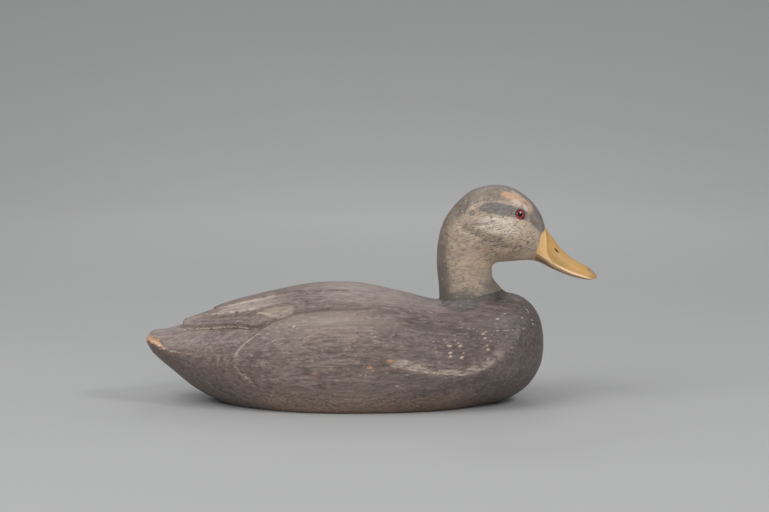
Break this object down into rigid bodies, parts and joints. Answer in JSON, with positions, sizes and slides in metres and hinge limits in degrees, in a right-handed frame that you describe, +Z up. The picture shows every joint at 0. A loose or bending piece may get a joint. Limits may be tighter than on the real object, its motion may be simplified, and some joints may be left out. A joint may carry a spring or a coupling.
{
  "type": "black duck decoy",
  "caption": "Carved and painted wooden black duck hunting decoy with folded wings in relief, a raised head, glass eyes and a flat underside to stand on.",
  "frame": {"origin": "on the flat underside, midway along the whole bird and on its middle line", "axes": "+X from the tail to the bill, +Y to the duck's left, +Z up"},
  "size_m": [0.435, 0.1638, 0.2099],
  "materials": {
    "body_paint": "old satin oil paint in dark brown, worn to bare wood on the edges",
    "head_paint": "old streaked and crackled grey-tan oil paint with a dark eye stripe, ochre bill",
    "eye_glass": "clear glass over a dark red-brown iris and a black pupil"
  },
  "bodies": {
    "root": {"body": "body_paint", "head": "head_paint", "eye_right": "eye_glass", "eye_left": "eye_glass"}
  },
  "joints": []
}
